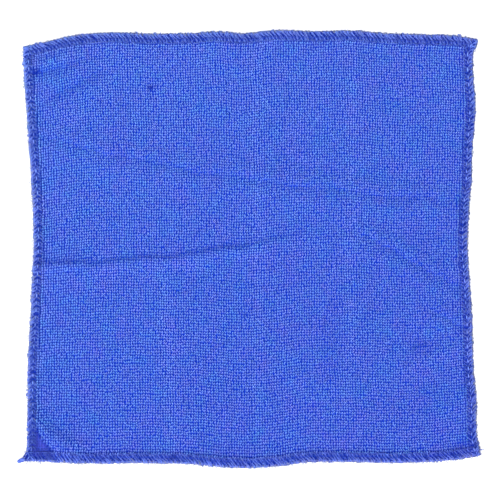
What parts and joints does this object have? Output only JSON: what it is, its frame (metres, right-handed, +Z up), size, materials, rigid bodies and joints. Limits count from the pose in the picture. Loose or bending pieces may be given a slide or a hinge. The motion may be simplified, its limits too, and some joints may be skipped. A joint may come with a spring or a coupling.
{
  "type": "microfibre cloth",
  "caption": "Square knitted microfibre cleaning cloth with overlocked edges, laid out flat with soft packing creases.",
  "frame": {"origin": "middle of the cloth's footprint, on the surface that it lies on", "axes": "+Z up out of the cloth's upper face, +X along its longer side as laid, +Y along its shorter side"},
  "size_m": [0.2585, 0.245, 0.0051],
  "materials": {
    "microfibre": "soft matt warp knit in bright blue, with an overlocked rim"
  },
  "bodies": {
    "root": {"cloth": "microfibre"}
  },
  "joints": []
}
